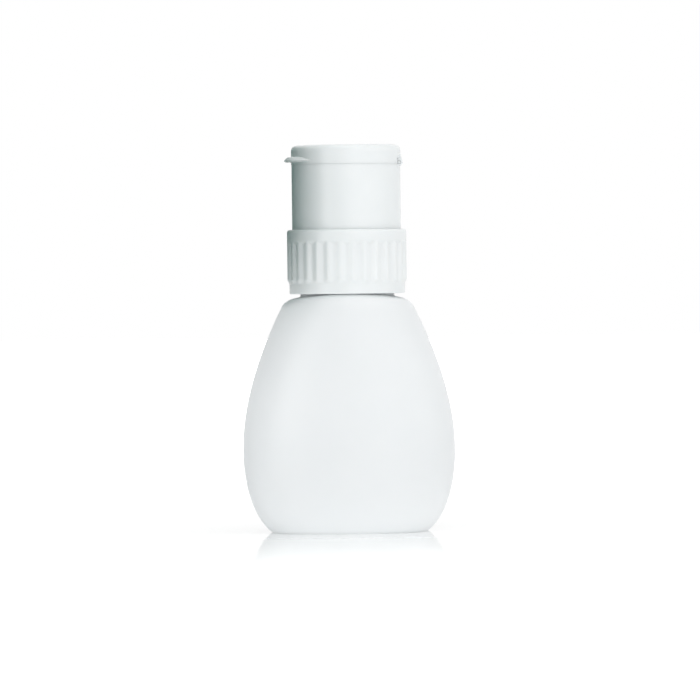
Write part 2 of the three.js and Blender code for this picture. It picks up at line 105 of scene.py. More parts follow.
# %% [markdown]
# ## Shapes from rings
# Nearly every piece is round, so it could be cut out of cylinders or spun from a profile. A profile is
# closest to how the moulds are turned. Here it lists its corners with a fillet each, and a skin is laid
# through the rings that the profile sweeps. Beside each fillet goes a guard point, which keeps the long
# straight walls from being shaded as if they were bent.

# %% Skins over rings
sharp_angle = math.radians(34)


def shade(piece):
    """Smooth shading that stays crisp at sharp edges."""
    piece.data.shade_smooth()
    piece.data.set_sharp_from_angle(angle=sharp_angle)


def new_piece(name, mesh):
    """An object with this mesh, put in the scene."""
    piece = bpy.data.objects.new(name, mesh)
    bpy.context.scene.collection.objects.link(piece)
    return piece


def skin(name, rings, closed=False):
    """A skin through rings that run counter-clockwise seen from above. A ring of one point is a pole."""
    starts = []
    points = []
    for ring in rings:
        starts.append(len(points))
        points.extend(Vector(point) * MM for point in ring)
    sides = max(len(ring) for ring in rings)
    faces = []
    for k in range(len(rings) if closed else len(rings) - 1):
        upper = (k + 1) % len(rings)
        here, there = len(rings[k]), len(rings[upper])
        for i in range(sides):
            j = (i + 1) % sides
            corners = [
                starts[k] + i % here,
                starts[k] + j % here,
                starts[upper] + j % there,
                starts[upper] + i % there,
            ]
            faces.append(list(dict.fromkeys(corners)))
    mesh = bpy.data.meshes.new(name)
    mesh.from_pydata(points, [], faces)
    piece = new_piece(name, mesh)
    shade(piece)
    return piece


print("edges stay crisp from", round(math.degrees(sharp_angle)), "degrees on")


# %% Turned profiles
def turned(name, profile, sides=128):
    """A profile of radius and height, up the outside and down the inside, turned about Z."""
    rings = []
    for radius, z in profile:
        turns = [math.tau * i / sides for i in range(sides)] if radius else [0]
        rings.append([(radius * math.cos(turn), radius * math.sin(turn), z) for turn in turns])
    return skin(name, rings, closed=profile[0][0] > 0)


def rounded(corners, steps=4, guard_share=0.4):
    """The points of a profile whose corners are given as radius, height and fillet."""
    outline = []
    for k, (radius, z, fillet) in enumerate(corners):
        corner = Vector((radius, z))
        if not fillet:
            outline.append(corner)
            continue
        back = (Vector(corners[k - 1][:2]) - corner).normalized()
        on = (Vector(corners[(k + 1) % len(corners)][:2]) - corner).normalized()
        start = corner + back * fillet
        end = corner + on * fillet
        outline.append(start + back * fillet * guard_share)
        for i in range(steps + 1):
            share = i / steps
            outline.append(start.lerp(corner, share).lerp(corner.lerp(end, share), share))
        outline.append(end + on * fillet * guard_share)
    return outline


one_corner = rounded([(1, 0, 0), (1, 1, 0.2), (0, 1, 0)])
print("points of a soft corner:", len(one_corner) - 2)

# %% [markdown]
# ## Cuts and joins
# Hinge eyes, notches and ports are cut out, and lugs are joined on. That could be done by hand, face by
# face, but a Boolean modifier follows the sizes when they change. Its result is taken over as the piece's
# own mesh, so that no modifier is left when the piece goes into the frame. A cut can leave points that lie
# together and faces without area, so the mesh is cleaned after it. The tools are bars with soft ends,
# drawn from the front and drawn out along Y, as the hinge pin lies.

# %% Booleans
weld_distance = 0.001 * MM


def settle(piece):
    """Takes what the modifiers make as the piece's own mesh."""
    evaluated = piece.evaluated_get(bpy.context.evaluated_depsgraph_get())
    mesh = bpy.data.meshes.new_from_object(evaluated)
    rough = piece.data
    piece.modifiers.clear()
    piece.data = mesh
    bpy.data.meshes.remove(rough)


def clean(piece):
    """Merges points that lie together and takes out faces without area."""
    shape = bmesh.new()
    shape.from_mesh(piece.data)
    bmesh.ops.remove_doubles(shape, verts=shape.verts, dist=weld_distance)
    bmesh.ops.dissolve_degenerate(shape, edges=shape.edges, dist=weld_distance)
    shape.to_mesh(piece.data)
    shape.free()


def combine(piece, tool, operation):
    """Cuts a tool out of a piece or joins it on, and uses the tool up."""
    modifier = piece.modifiers.new("combine", "BOOLEAN")
    modifier.operation = operation
    modifier.solver = "EXACT"
    modifier.object = tool
    settle(piece)
    bpy.data.objects.remove(tool)
    clean(piece)


print("points are merged within", weld_distance / MM, "mm")


# %% Bars
def bar_along_y(name, outline, from_y, to_y, edge=0):
    """A bar whose outline is given as x and z, with its two ends softened by edge."""
    shape = bmesh.new()
    front = [shape.verts.new(Vector((x, from_y, z)) * MM) for x, z in outline]
    back = [shape.verts.new(Vector((x, to_y, z)) * MM) for x, z in outline]
    ends = [shape.faces.new(front), shape.faces.new(list(reversed(back)))]
    for i in range(len(outline)):
        j = (i + 1) % len(outline)
        shape.faces.new((front[i], back[i], back[j], front[j]))
    bmesh.ops.recalc_face_normals(shape, faces=shape.faces)
    if edge:
        rims = list({rim for end in ends for rim in end.edges})
        bmesh.ops.bevel(shape, geom=rims, offset=edge * MM, segments=3, affect="EDGES", profile=0.5)
    mesh = bpy.data.meshes.new(name)
    shape.to_mesh(mesh)
    shape.free()
    return new_piece(name, mesh)


def arc(centre, radius, from_degrees, to_degrees, steps):
    """Points on an arc, as x and z."""
    turns = [math.radians(from_degrees + (to_degrees - from_degrees) * i / steps) for i in range(steps + 1)]
    return [(centre[0] + radius * math.cos(turn), centre[1] + radius * math.sin(turn)) for turn in turns]


def round_bar(name, centre, radius, from_y, to_y, edge=0, sides=48):
    """A round bar along Y, with its two ends softened by edge."""
    return bar_along_y(name, arc(centre, radius, 0, 360 - 360 / sides, sides - 1), from_y, to_y, edge)


print("points on a half round of 24 steps:", len(arc((0, 0), 1, 0, 180, 24)))

# %% [markdown]
# ## Node trees for what winds and repeats
# Ribs, screw threads and the spring follow a rule, so each is a small Geometry Nodes tree with its sizes
# as named inputs. A tree could stay live on the piece, but then the export would have to run it, so the
# result is taken over as a plain mesh straight away.

# %% Tree helpers
def new_tree(name, sizes):
    """A tree with geometry, named sizes and a material going in, and geometry coming out."""
    tree = bpy.data.node_groups.new(name, "GeometryNodeTree")
    tree.interface.new_socket("Geometry", in_out="INPUT", socket_type="NodeSocketGeometry")
    for size in sizes:
        tree.interface.new_socket(size, in_out="INPUT", socket_type="NodeSocketFloat")
    tree.interface.new_socket("Material", in_out="INPUT", socket_type="NodeSocketMaterial")
    tree.interface.new_socket("Geometry", in_out="OUTPUT", socket_type="NodeSocketGeometry")
    return tree, tree.nodes.new("NodeGroupInput"), tree.nodes.new("NodeGroupOutput")


def plug(tree, socket, value):
    """Links a socket to another node's output, or sets it to a plain value."""
    if isinstance(value, bpy.types.NodeSocket):
        tree.links.new(value, socket)
    else:
        socket.default_value = value


def sum_up(tree, operation, *values):
    """The output of a Math node. A tree's own calculator is partial(sum_up, tree)."""
    node = tree.nodes.new("ShaderNodeMath")
    node.operation = operation
    for socket, value in zip(node.inputs, values):
        plug(tree, socket, value)
    return node.outputs[0]


def ramp(tree, value, from_low, from_high, smooth=True):
    """0 below one value, 1 above the other, and a ramp between them."""
    node = tree.nodes.new("ShaderNodeMapRange")
    node.interpolation_type = "SMOOTHSTEP" if smooth else "LINEAR"
    plug(tree, node.inputs["Value"], value)
    plug(tree, node.inputs["From Min"], from_low)
    plug(tree, node.inputs["From Max"], from_high)
    return node.outputs["Result"]


def place_at(tree, x, y, z):
    """A vector from three numbers."""
    node = tree.nodes.new("ShaderNodeCombineXYZ")
    for socket, value in zip(node.inputs, (x, y, z)):
        plug(tree, socket, value)
    return node.outputs[0]


print("node trees so far:", len(bpy.data.node_groups))


# %% How a tree ends and runs
def move_points(tree, geometry, place, chosen=None):
    """Set Position, for the chosen points."""
    node = tree.nodes.new("GeometryNodeSetPosition")
    tree.links.new(geometry, node.inputs["Geometry"])
    tree.links.new(place, node.inputs["Position"])
    if chosen:
        tree.links.new(chosen, node.inputs["Selection"])
    return node.outputs["Geometry"]


def close_tree(tree, geometry, start, end):
    """Smooth shading, Realize Instances and Set Material at the end of a tree."""
    soft = tree.nodes.new("GeometryNodeSetShadeSmooth")
    real = tree.nodes.new("GeometryNodeRealizeInstances")
    paint = tree.nodes.new("GeometryNodeSetMaterial")
    tree.links.new(geometry, soft.inputs["Geometry"])
    tree.links.new(soft.outputs[0], real.inputs[0])
    tree.links.new(real.outputs[0], paint.inputs["Geometry"])
    tree.links.new(start.outputs["Material"], paint.inputs["Material"])
    tree.links.new(paint.outputs[0], end.inputs["Geometry"])


def run_tree(piece, tree, sizes):
    """Runs a tree on a piece with these inputs, set by identifier, and takes over its result."""
    modifier = piece.modifiers.new(tree.name, "NODES")
    modifier.node_group = tree
    for socket in tree.interface.items_tree:
        if socket.in_out == "INPUT" and socket.name in sizes:
            modifier[socket.identifier] = sizes[socket.name]
    settle(piece)


print("each tree ends in smooth shading, real instances and a material")

# %% [markdown]
# ## Finishes
# All that shows is white plastic, in two grades. The blow-moulded bottle is satin with a faint orange
# peel, because its skin only touched the mould as it was blown out. The injection-moulded collar, head
# and lid are smoother and a touch glossier. Both let some light in, so they have subsurface scattering.
# Inside are a natural, milky plastic for the pump, soft pale seals and bright steel. A picture could be
# wrapped round them, but noise on Object coordinates has no seam and bakes well: slow noise clouds the
# colour and the gloss, and fine noise raises the grain.

# %% Noise and colour
noise_low, noise_high = 0.3, 0.7


def blend_colours(tree, share, first, second):
    """A colour between two, by a share from 0 to 1."""
    node = tree.nodes.new("ShaderNodeMix")
    node.data_type = "RGBA"
    tree.links.new(share, node.inputs["Factor"])
    node.inputs["A"].default_value = (*first, 1)
    node.inputs["B"].default_value = (*second, 1)
    return node.outputs["Result"]


def noise(tree, place, size, detail):
    """Noise whose patches are about this size, in millimetres."""
    node = tree.nodes.new("ShaderNodeTexNoise")
    tree.links.new(place, node.inputs["Vector"])
    node.inputs["Scale"].default_value = 1 / (size * MM)
    node.inputs["Detail"].default_value = detail
    return node.outputs["Fac"]


def between(tree, share, low, high):
    """A number between two, by a noise value that stays near the middle."""
    node = tree.nodes.new("ShaderNodeMapRange")
    tree.links.new(share, node.inputs["Value"])
    node.inputs["From Min"].default_value = noise_low
    node.inputs["From Max"].default_value = noise_high
    node.inputs["To Min"].default_value = low
    node.inputs["To Max"].default_value = high
    return node.outputs["Result"]


print("noise is spread from between", noise_low, "and", noise_high)

# %% Moulded finish
milkiness = 0.3
scatter_tint = (1, 0.95, 0.9)
cloud_detail, grain_detail = 3, 2
even_share = 0.5


def moulded(name, colours, gloss, cloud, grain, relief, depth=0, metal=0, stretch=(1, 1, 1)):
    """A finish between two colours and two roughnesses, with patches and grain of these sizes."""
    finish = bpy.data.materials.new(name)
    finish.use_nodes = True
    tree = finish.node_tree
    shader = tree.nodes["Principled BSDF"]
    shader.inputs["Metallic"].default_value = metal
    place = tree.nodes.new("ShaderNodeTexCoord").outputs["Object"]
    mapping = tree.nodes.new("ShaderNodeMapping")
    mapping.inputs["Scale"].default_value = stretch
    tree.links.new(place, mapping.inputs["Vector"])
    slow = noise(tree, mapping.outputs[0], cloud, cloud_detail)
    fine = noise(tree, mapping.outputs[0], grain, grain_detail)
    tint = between(tree, slow, 0, 1)
    tree.links.new(blend_colours(tree, tint, *colours), shader.inputs["Base Color"])
    mixed = sum_up(tree, "MULTIPLY_ADD", fine, even_share, sum_up(tree, "MULTIPLY", slow, even_share))
    tree.links.new(between(tree, mixed, *gloss), shader.inputs["Roughness"])
    bump = tree.nodes.new("ShaderNodeBump")
    bump.inputs["Strength"].default_value = 1
    bump.inputs["Distance"].default_value = relief * MM
    tree.links.new(fine, bump.inputs["Height"])
    tree.links.new(bump.outputs[0], shader.inputs["Normal"])
    if depth:
        shader.inputs["Subsurface Weight"].default_value = milkiness
        shader.inputs["Subsurface Radius"].default_value = scatter_tint
        shader.inputs["Subsurface Scale"].default_value = depth * MM
    return finish


print("milkiness of the plastics:", milkiness)

# %% White plastics, seals and steel
bottle_white = moulded(
    "bottle_white", [(0.9, 0.932, 0.942), (0.92, 0.948, 0.957)],
    gloss=(0.3, 0.4), cloud=22, grain=0.9, relief=0.004, depth=6.0,
)
cap_white = moulded(
    "cap_white", [(0.815, 0.85, 0.855), (0.845, 0.875, 0.88)],
    gloss=(0.29, 0.35), cloud=15, grain=0.6, relief=0.001, depth=1.5,
)
pump_natural = moulded(
    "pump_natural", [(0.72, 0.75, 0.745), (0.79, 0.815, 0.81)],
    gloss=(0.34, 0.46), cloud=9, grain=0.4, relief=0.004, depth=2.5,
)
seal_soft = moulded(
    "seal_soft", [(0.66, 0.69, 0.67), (0.74, 0.765, 0.745)],
    gloss=(0.6, 0.78), cloud=4, grain=0.25, relief=0.03, depth=1.0,
)
steel_bright = moulded(
    "steel_bright", [(0.56, 0.57, 0.58), (0.68, 0.69, 0.7)],
    gloss=(0.16, 0.3), cloud=3, grain=0.12, relief=0.002, metal=1, stretch=(1, 1, 6),
)
finishes = (bottle_white, cap_white, pump_natural, seal_soft, steel_bright)
print("finishes:", [finish.name for finish in finishes])

# %% [markdown]
# ## Into the frame
# A finished piece has to know its finish, the body that it moves with and the solid that it stands for.
# The frame's record holds all of that but the finish, so one helper does it.

# %% Place a piece in the frame
def dress(piece, node, finish, stands_for=True):
    """Gives a piece its finish and its place in the frame, in the stead of a solid or beside it."""
    piece.data.materials.clear()
    piece.data.materials.append(finish)
    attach(piece, body_of_node[node])
    if stands_for:
        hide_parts(node)
    print(piece.name, "rides on", body_of_node[node], "with", len(piece.data.polygons), "faces")


# %% [markdown]
# ## Bottle
# The bottle is blown from a soft tube inside a mould in two halves. Its side outline is two curves that
# meet at the belly, and its section is an oval, fuller than an ellipse at the belly and round at the
# neck. Above the edge of the shoulder it closes in a low dome, which stands higher at the front and the
# back than at the sides and runs into the neck by a soft root. A subdivided cage could come near all
# this, but the outline is known, so rings follow it exactly. Where the halves of the mould met, a fine
# seam runs up both narrow sides.

# %% Outline of the bottle
_, belly = box_of("bottle")
lip_z = belly.z
seam_height = 0.05
belly_half = Vector((belly.x - seam_height, belly.y))
belly_z = 26.1
base_half = Vector((25.0, 18.0))
shoulder_half = Vector((21.3, 19.4))
shoulder_z = 71.5
foot_pull_out, foot_pull_up = 0.67, 0.19
belly_pull_below, belly_pull_above = 0.575, 0.308
shoulder_pull_out, shoulder_pull_down = 0.63, 0.352

upper_height = shoulder_z - belly_z
lower_side = [
    (0, 0),
    (foot_pull_out, foot_pull_up * belly_z),
    (1, belly_pull_below * belly_z),
    (1, belly_z),
]
upper_side = [
    (1, belly_z),
    (1, belly_z + belly_pull_above * upper_height),
    (shoulder_pull_out, shoulder_z - shoulder_pull_down * upper_height),
    (0, shoulder_z),
]


def curve_through(handles, steps):
    """Points on a curve given by its two ends and the two handles between them."""
    first, first_handle, last_handle, last = [Vector((*handle, 0)) for handle in handles]
    return [(point.x, point.y) for point in interpolate_bezier(first, first_handle, last_handle, last, steps)]


print("side below the belly in mm:", belly_z, "above it:", round(upper_height, 1))

# %% Levels of the bottle
ellipse_fullness = 2
belly_fullness = 2.3
shoulder_handle = (0.22, 74.4)
root_z = 75.0
root_half = Vector((15.7, 15.7))
side_steps = 30
shoulder_steps = 9


def oval_between(small, large, share, fullness, z, inset=0):
    """Half width, half depth, fullness and height of one level of the bottle."""
    half = small + (large - small) * share
    return half.x - inset, half.y - inset, fullness, z


def body_levels(steps, inset=0):
    """Levels from the foot to the edge of the shoulder."""
    levels = []
    for share, z in curve_through(lower_side, steps):
        raised = z + inset * (1 - z / belly_z)
        levels.append(oval_between(base_half, belly_half, share, belly_fullness, raised, inset))
    for share, z in curve_through(upper_side, steps)[1:]:
        fullness = ellipse_fullness + (belly_fullness - ellipse_fullness) * share
        levels.append(oval_between(shoulder_half, belly_half, share, fullness, z, inset))
    return levels


def shoulder_levels(steps, inset=0):
    """Levels round the shoulder, from its edge to the root of the neck."""
    edge, handle, end = Vector((0, shoulder_z)), Vector(shoulder_handle), Vector((1, root_z))
    levels = []
    for k in range(1, steps + 1):
        along = k / steps
        point = edge.lerp(handle, along).lerp(handle.lerp(end, along), along)
        turn = along * math.pi / 2
        z = point.y - inset * math.sin(turn)
        in_by = inset * math.cos(turn)
        levels.append(oval_between(shoulder_half, root_half, point.x, ellipse_fullness, z, in_by))
    return levels


print("levels on the side:", len(body_levels(side_steps)))
print("levels round the shoulder:", len(shoulder_levels(shoulder_steps)))

# %% Rings of the bottle
bottle_sides = 192
seam_half_width = 0.3
seam_degrees = (-0.35, -0.15, 0.15, 0.35)
even_turns = [math.tau * i / bottle_sides for i in range(bottle_sides)]
seam_turns = [middle + math.radians(side) for middle in (0, math.pi) for side in seam_degrees]
bottle_turns = sorted((turn % math.tau) for turn in even_turns + seam_turns)


def oval_ring(level, seam=0, rise=0):
    """One level of the bottle, with the mould's seam on its narrow sides and a rise at front and back."""
    half_width, half_depth, fullness, z = level
    if not half_width:
        return [(0, 0, z)]
    ring = []
    for turn in bottle_turns:
        across, along = math.cos(turn), math.sin(turn)
        x = half_width * math.copysign(abs(across) ** (2 / fullness), across)
        y = half_depth * math.copysign(abs(along) ** (2 / fullness), along)
        ridge = seam * max(0, 1 - abs(y) / seam_half_width)
        ring.append((x + math.copysign(ridge, across), y, z + rise * along * along))
    return ring


print("points round the bottle:", len(bottle_turns))

# %% Foot of the bottle
foot_fillet = 0.03
heel_fillet = foot_fillet / 8
heel_height = 0.12
push_up = 1.6
standing_width = 4.0
standing_half = base_half - Vector((standing_width, standing_width))
foot_shares = (0, 0.2, 0.4, 0.6, 0.75, 0.88, 0.96, 1)

foot = [
    (standing_half.x * share, standing_half.y * share, belly_fullness, push_up * (1 - share ** 3))
    for share in foot_shares
]
foot.append(oval_between(base_half, belly_half, -foot_fillet, belly_fullness, 0))
foot.append(oval_between(base_half, belly_half, -heel_fillet, belly_fullness, heel_height))
print("levels of the foot:", len(foot))

# %% Neck of the bottle
neck_radius = 15.0
neck_bore = 12.7
bottle_wall = 1.1
root_round = 0.7
lip_edge = 0.35
lip_turn = 0.1


def neck_level(radius, z):
    """One round level of the neck."""
    return radius, radius, ellipse_fullness, z


neck_root = []
for degrees in range(18, 91, 18):
    turn = math.radians(degrees)
    out = root_round * (1 - math.sin(turn))
    up = root_round * (1 - math.cos(turn))
    neck_root.append(neck_level(neck_radius + out, root_z + up))
neck_lip = [
    neck_level(neck_radius, lip_z - lip_edge),
    neck_level(neck_radius - lip_turn, lip_z - lip_turn),
    neck_level(neck_radius - lip_edge, lip_z),
    neck_level(neck_bore + lip_edge, lip_z),
    neck_level(neck_bore, lip_z - lip_edge),
    neck_level(neck_bore, root_z - bottle_wall),
]
print("levels of the neck:", len(neck_root) + len(neck_lip))

# %% Bottle
front_rise = 1.0
front_bulge = 0.6
inner_side_steps = 8
inner_shoulder_steps = 3

outside = [oval_ring(level) for level in foot]
outside += [oval_ring(level, seam_height) for level in body_levels(side_steps)[1:]]
for k, level in enumerate(shoulder_levels(shoulder_steps)):
    turn = math.pi / (2 * shoulder_steps) * (k + 1)
    rise = front_rise * math.sin(turn) + front_bulge * math.sin(2 * turn)
    outside.append(oval_ring(level, seam_height / 2, rise))
outside += [oval_ring(level, rise=front_rise) for level in neck_root]
outside += [oval_ring(level) for level in neck_lip]
inside = [oval_ring((0, 0, ellipse_fullness, push_up + bottle_wall))]
inside += [oval_ring(level) for level in body_levels(inner_side_steps, bottle_wall)]
inside += [oval_ring(level) for level in shoulder_levels(inner_shoulder_steps, bottle_wall)]
moulded_bottle = skin("moulded_bottle", outside + inside[::-1])
dress(moulded_bottle, "bottle", bottle_white)

# %% [markdown]
# ## Collar
# The collar is the nut that holds the pump on the neck. Soft upright ribs give a wet hand its grip: they
# start above a plain band at the foot and run out into a plain rim at the top. Each rib could be a piece
# of its own, but it is one moulding, so a tree pushes the wall of a plain turned collar in and out, by
# the angle round the axis and by the height.

# %% Plain collar
collar_low, collar_high = box_of("collar")
rim_radius = collar_high.y
rib_depth = 0.6
band_radius = rim_radius - rib_depth
collar_bore = 16.5
recess_radius = 17.7
recess_z = 88.4
web_z = 87.0
web_hole = 9.3
rib_count = 30
points_per_rib = 16
plain_band, plain_rim = 3.1, 3.5
rib_foot_z = collar_low.z + plain_band
rib_top_z = collar_high.z - plain_rim
rib_margin = 0.2
wall_levels = 48
collar_edge = 0.9


def collar_profile():
    """The plain collar, with levels close enough together for the ribs to run out softly.

    The last two corners only give the fillets beside them their direction. The levels take their place.
    """
    wall = rounded([
        (rim_radius, collar_high.z, collar_edge),
        (recess_radius, collar_high.z, 0.3),
        (recess_radius, recess_z, 0.25),
        (web_hole, recess_z, 0.2),
        (web_hole, web_z, 0.2),
        (collar_bore, web_z, 0.3),
        (collar_bore, collar_low.z, 0.3),
        (band_radius, collar_low.z, 0.35),
        (band_radius, rib_foot_z, 0),
        (rim_radius, rib_top_z, 0),
    ])
    foot_z = rib_foot_z - rib_margin
    top_z = rib_top_z + rib_margin
    step = (top_z - foot_z) / wall_levels
    return wall[:-2] + [Vector((band_radius, foot_z + step * k)) for k in range(wall_levels + 1)]


ribbed_collar = turned("ribbed_collar", collar_profile(), rib_count * points_per_rib)
print("points round the collar:", rib_count * points_per_rib)

# %% Rib tree
groove_share = 0.15
rib_run_out = 1.5
band_tolerance = 0.01 * MM

rib_sizes = {
    "Band Radius": band_radius * MM,
    "Rib Depth": rib_depth * MM,
    "Groove Share": groove_share,
    "Rib Count": rib_count,
    "Foot Height": rib_foot_z * MM,
    "Top Height": rib_top_z * MM,
    "Run Out": rib_run_out * MM,
}
rib_tree, start, end = new_tree("collar_ribs", rib_sizes)
sizes = start.outputs
place = rib_tree.nodes.new("GeometryNodeInputPosition").outputs[0]
parts = rib_tree.nodes.new("ShaderNodeSeparateXYZ")
rib_tree.links.new(place, parts.inputs[0])
x, y, z = parts.outputs
maths = partial(sum_up, rib_tree)
turn = maths("ARCTAN2", y, x)
radius = maths("SQRT", maths("ADD", maths("MULTIPLY", x, x), maths("MULTIPLY", y, y)))
wave = maths("COSINE", maths("MULTIPLY", turn, sizes["Rib Count"]))
crest = maths("MULTIPLY_ADD", wave, 0.5, 0.5)
groove = sizes["Groove Share"]
swell = maths("MULTIPLY_ADD", crest, maths("SUBTRACT", 1, groove), groove)
foot_end = maths("ADD", sizes["Foot Height"], sizes["Run Out"])
above_foot = ramp(rib_tree, z, sizes["Foot Height"], foot_end)
rim_start = maths("SUBTRACT", sizes["Top Height"], sizes["Run Out"])
near_rim = ramp(rib_tree, z, rim_start, sizes["Top Height"])
share = maths("MAXIMUM", maths("MULTIPLY", swell, above_foot), near_rim)
outward = maths("MULTIPLY_ADD", share, sizes["Rib Depth"], sizes["Band Radius"])
scale = maths("DIVIDE", outward, radius)
moved = place_at(rib_tree, maths("MULTIPLY", x, scale), maths("MULTIPLY", y, scale), z)
on_band = maths("COMPARE", radius, sizes["Band Radius"], band_tolerance)
close_tree(rib_tree, move_points(rib_tree, sizes["Geometry"], moved, on_band), start, end)
print("nodes in the rib tree:", len(rib_tree.nodes))

# %% Ribbed collar
run_tree(ribbed_collar, rib_tree, {**rib_sizes, "Material": cap_white})
shade(ribbed_collar)
dress(ribbed_collar, "collar", cap_white)

# %% [markdown]
# ## Screw thread
# The neck has a round thread on the outside, and the collar one on the inside that runs half a pitch
# away from it. The pitch is the one that joins the collar's turn to the pump's rise. A screw modifier
# could wind it, but a spiral in a tree can also thin out at both ends, as moulded threads do.

# %% Round wire along a spiral
section_points = 16


def wind(tree, spiral, radius, turn, height):
    """A spiral whose points are put at this radius, turn and height."""
    across = sum_up(tree, "MULTIPLY", radius, sum_up(tree, "COSINE", turn))
    along = sum_up(tree, "MULTIPLY", radius, sum_up(tree, "SINE", turn))
    return move_points(tree, spiral.outputs[0], place_at(tree, across, along, height))


def sweep_round(tree, path, radius, thickness=1.0):
    """A round section swept along a path and closed at both ends."""
    section = tree.nodes.new("GeometryNodeCurvePrimitiveCircle")
    section.inputs["Resolution"].default_value = section_points
    plug(tree, section.inputs["Radius"], radius)
    sweep = tree.nodes.new("GeometryNodeCurveToMesh")
    tree.links.new(path, sweep.inputs["Curve"])
    tree.links.new(section.outputs[0], sweep.inputs["Profile Curve"])
    plug(tree, sweep.inputs["Scale"], thickness)
    sweep.inputs["Fill Caps"].default_value = True
    return sweep.outputs[0]


print("points round a wire:", section_points)

# %% Thread tree
thread_pitch = record["behaviour"]["couplings"][0]["ratio"] * math.tau / MM
thread_turns = 1.35
thread_foot_z = 77.0
thread_round = 0.9
thread_run_out = 0.12
end_thickness = 0.25
thread_turn_points = 96

thread_names = ["Turns", "Path Radius", "Pitch", "Foot Height", "Start Turn", "Roundness", "Sink"]
thread_tree, start, end = new_tree("screw_thread", thread_names)
sizes = start.outputs
spiral = thread_tree.nodes.new("GeometryNodeCurveSpiral")
spiral.inputs["Resolution"].default_value = thread_turn_points
plug(thread_tree, spiral.inputs["Rotations"], sizes["Turns"])
plug(thread_tree, spiral.inputs["Start Radius"], sizes["Path Radius"])
plug(thread_tree, spiral.inputs["End Radius"], sizes["Path Radius"])
along = thread_tree.nodes.new("GeometryNodeSplineParameter").outputs["Factor"]
run_in = ramp(thread_tree, along, 0, thread_run_out)
run_out = ramp(thread_tree, along, 1, 1 - thread_run_out)
maths = partial(sum_up, thread_tree)
ends = maths("MINIMUM", run_in, run_out)
thickness = maths("MULTIPLY_ADD", ends, 1 - end_thickness, end_thickness)
turn = maths("MULTIPLY_ADD", along, maths("MULTIPLY", sizes["Turns"], math.tau), sizes["Start Turn"])
sunk = maths("MULTIPLY", sizes["Sink"], maths("SUBTRACT", ends, 1))
radius = maths("ADD", sizes["Path Radius"], sunk)
climb = maths("MULTIPLY", sizes["Turns"], sizes["Pitch"])
height = maths("MULTIPLY_ADD", along, climb, sizes["Foot Height"])
wound = wind(thread_tree, spiral, radius, turn, height)
close_tree(thread_tree, sweep_round(thread_tree, wound, sizes["Roundness"], thickness), start, end)
print("thread pitch in mm:", round(thread_pitch, 2))

# %% Threads on the neck and in the collar
thread_lift = 0.3
thread_sink = 0.6


def thread(name, path_radius, sink, start_turn, finish):
    """A thread that sinks into the wall that carries it at both ends."""
    piece = new_piece(name, bpy.data.meshes.new(name))
    run_tree(piece, thread_tree, {
        "Turns": thread_turns,
        "Path Radius": path_radius * MM,
        "Pitch": thread_pitch * MM,
        "Foot Height": thread_foot_z * MM,
        "Start Turn": start_turn,
        "Roundness": thread_round * MM,
        "Sink": sink * MM,
        "Material": finish,
    })
    return piece


neck_thread = thread("neck_thread", neck_radius + thread_lift, thread_sink, 0.0, bottle_white)
dress(neck_thread, "bottle", bottle_white, stands_for=False)
collar_thread = thread("collar_thread", collar_bore - thread_lift, -thread_sink, math.pi, cap_white)
dress(collar_thread, "collar", cap_white, stands_for=False)

# %% [markdown]
# ## Pump core
# Inside the neck hangs the pump: a cylinder with a ball valve at its foot, a guide snapped into its top,
# a foam ring that seals it on the bottle's lip, and a tube down to the bottom of the bottle. None of it
# shows until the pump is taken apart, so the solids could stay as they are. But each is a piece of its
# own, so each is turned from its own profile, with the softened edges that a mould leaves. The tube's foot
# is cut aslant, so that it can't close itself on the bottom.

# %% Foam gasket
gasket_low, gasket_high = box_of("neck_gasket")
chamber_outer = 7.2
play = 0.3

foam_gasket = turned("foam_gasket", rounded([
    (gasket_high.x, gasket_low.z, 0.25),
    (gasket_high.x, gasket_high.z, 0.25),
    (chamber_outer + play, gasket_high.z, 0.25),
    (chamber_outer + play, gasket_low.z, 0.25),
]))
dress(foam_gasket, "neck_gasket", seal_soft)

# %% Chamber
chamber_low, chamber_high = box_of("pump_chamber")
chamber_bore = 6.0
spring_foot_z = 65.5
cage_bore = 2.6
cage_top_z = 64.5
lip_bore = 1.85
seat_top_z = 60.63
seat_foot_z = 59.33
inlet_bore = 1.3
socket_z = 58.13
socket_bore = 2.6
nipple_radius = 3.8

chamber_cylinder = turned("chamber_cylinder", rounded([
    (nipple_radius, chamber_low.z, 0.3),
    (nipple_radius, socket_z, 0.6),
    (chamber_outer, cage_top_z, 0.8),
    (chamber_outer, gasket_high.z, 0.4),
    (chamber_high.x, gasket_high.z, 0.25),
    (chamber_high.x, chamber_high.z, 0.25),
    (chamber_bore, chamber_high.z, 0.25),
    (chamber_bore, spring_foot_z, 0.3),
    (lip_bore, spring_foot_z, 0.2),
    (lip_bore, cage_top_z, 0.2),
    (cage_bore, cage_top_z, 0.15),
    (cage_bore, seat_top_z, 0.3),
    (inlet_bore, seat_foot_z, 0.2),
    (inlet_bore, socket_z, 0.2),
    (socket_bore, socket_z, 0.2),
    (socket_bore, chamber_low.z, 0.25),
]))
dress(chamber_cylinder, "pump_chamber", pump_natural)

# %% Guide
guide_low, guide_high = box_of("stem_guide")
press_fit = 0.1
guide_flange = 1.0
guide_collar = 5.2
stem_bore_in_guide = 3.7

guide_bush = turned("guide_bush", rounded([
    (chamber_bore - press_fit, guide_low.z, 0.2),
    (chamber_bore - press_fit, chamber_high.z, 0.1),
    (guide_high.x, chamber_high.z, 0.2),
    (guide_high.x, chamber_high.z + guide_flange, 0.25),
    (guide_collar, chamber_high.z + guide_flange, 0.35),
    (guide_collar, guide_high.z, 0.4),
    (stem_bore_in_guide, guide_high.z, 0.3),
    (stem_bore_in_guide, guide_low.z, 0.3),
]))
dress(guide_bush, "stem_guide", pump_natural)

